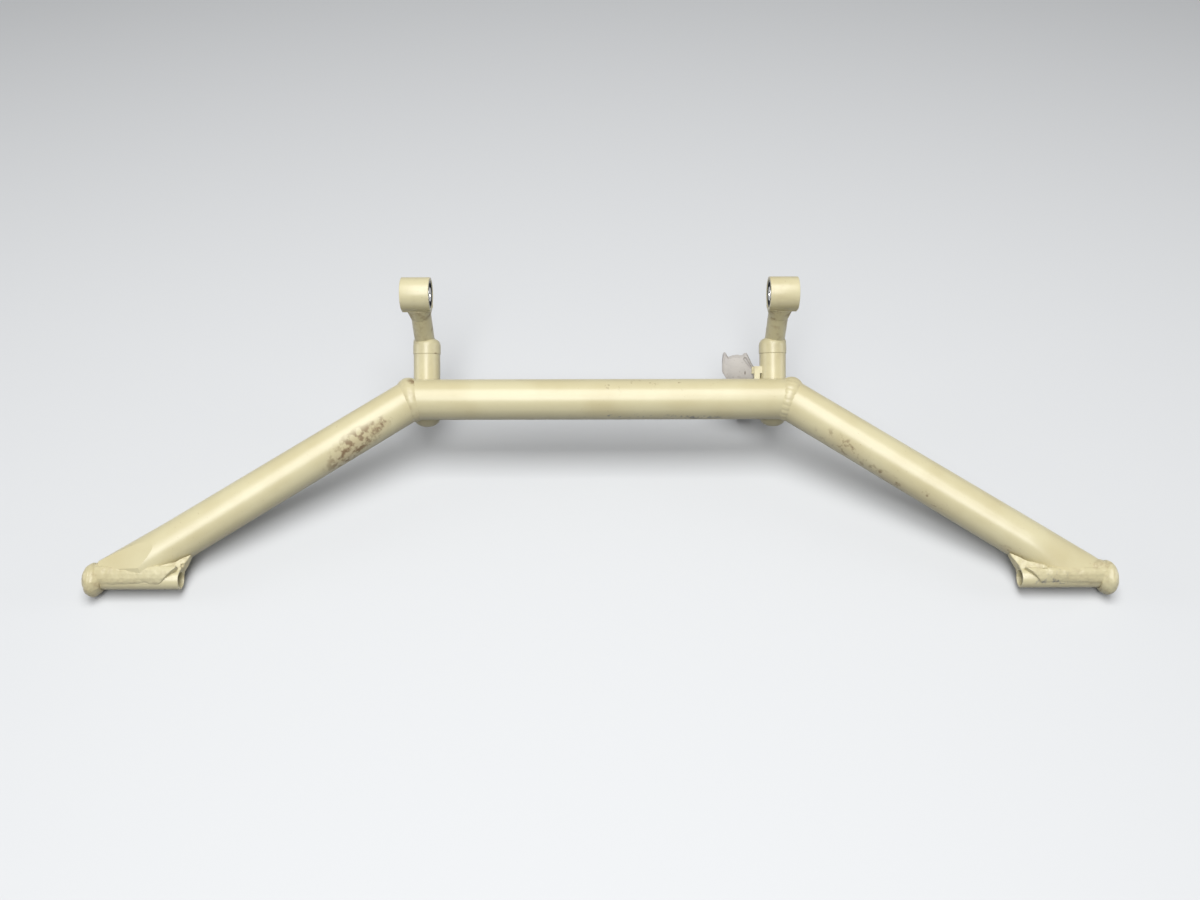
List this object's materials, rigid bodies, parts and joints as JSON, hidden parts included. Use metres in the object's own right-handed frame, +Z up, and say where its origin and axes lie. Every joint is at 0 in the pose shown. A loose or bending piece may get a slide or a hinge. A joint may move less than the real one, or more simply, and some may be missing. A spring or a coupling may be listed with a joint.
{
  "type": "control yoke frame",
  "caption": "Welded steel tube yoke frame with two splayed legs, pivot tubes with end collars, two bearing bosses on short necks and a stop saddle.",
  "frame": {"origin": "on the pivot axis, midway between the two pivot tubes", "axes": "+X along the pivot axis towards the side with the stop saddle, +Y back towards the cross tube, +Z up from the surface that the frame lies on"},
  "size_m": [0.6752, 0.1974, 0.1231],
  "materials": {
    "tan_paint": "gloss",
    "painted_weld": "satin",
    "grey_paint": "matt",
    "bearing_steel": "ground"
  },
  "bodies": {
    "frame": {"cross_tube": "tan_paint", "left_leg_tube": "tan_paint", "left_pivot_tube": "tan_paint", "left_end_collar": "tan_paint", "left_leg_gusset": "tan_paint", "left_sleeve": "tan_paint", "left_sleeve_plug": "tan_paint", "left_sleeve_cap": "tan_paint", "left_neck": "tan_paint", "left_boss": "tan_paint", "left_mitre_weld": "painted_weld", "left_pivot_weld": "painted_weld", "left_gusset_weld": "painted_weld", "left_collar_weld": "painted_weld", "left_sleeve_weld": "painted_weld", "left_neck_weld": "painted_weld", "left_boss_weld": "painted_weld", "left_outer_race": "bearing_steel", "right_leg_tube": "tan_paint", "right_pivot_tube": "tan_paint", "right_end_collar": "tan_paint", "right_leg_gusset": "tan_paint", "right_sleeve": "tan_paint", "right_sleeve_plug": "tan_paint", "right_sleeve_cap": "tan_paint", "right_neck": "tan_paint", "right_boss": "tan_paint", "right_mitre_weld": "painted_weld", "right_pivot_weld": "painted_weld", "right_gusset_weld": "painted_weld", "right_collar_weld": "painted_weld", "right_sleeve_weld": "painted_weld", "right_neck_weld": "painted_weld", "right_boss_weld": "painted_weld", "right_outer_race": "bearing_steel", "stop_saddle": "grey_paint", "stop_arm": "tan_paint", "stop_arm_weld": "painted_weld"},
    "left_inner_ring": {"left_inner_race": "bearing_steel"},
    "left_ball_set": {"left_balls": "bearing_steel", "left_cage": "bearing_steel"},
    "right_inner_ring": {"right_inner_race": "bearing_steel"},
    "right_ball_set": {"right_balls": "bearing_steel", "right_cage": "bearing_steel"}
  },
  "joints": [
    {"name": "left_bearing_spin", "type": "hinge", "parent": "frame", "child": "left_inner_ring", "pos_m": [-0.1283, 0.17348, 0.09921], "axis": [1, 0, 0], "continuous": true},
    {"name": "left_ball_roll", "type": "hinge", "parent": "frame", "child": "left_ball_set", "pos_m": [-0.1283, 0.17348, 0.09921], "axis": [1, 0, 0], "continuous": true},
    {"name": "right_bearing_spin", "type": "hinge", "parent": "frame", "child": "right_inner_ring", "pos_m": [0.1283, 0.17348, 0.09921], "axis": [1, 0, 0], "continuous": true},
    {"name": "right_ball_roll", "type": "hinge", "parent": "frame", "child": "right_ball_set", "pos_m": [0.1283, 0.17348, 0.09921], "axis": [1, 0, 0], "continuous": true}
  ],
  "couplings": [
    {"joint": "left_ball_roll", "follows": "left_bearing_spin", "ratio": 0.375},
    {"joint": "right_ball_roll", "follows": "right_bearing_spin", "ratio": 0.375}
  ]
}
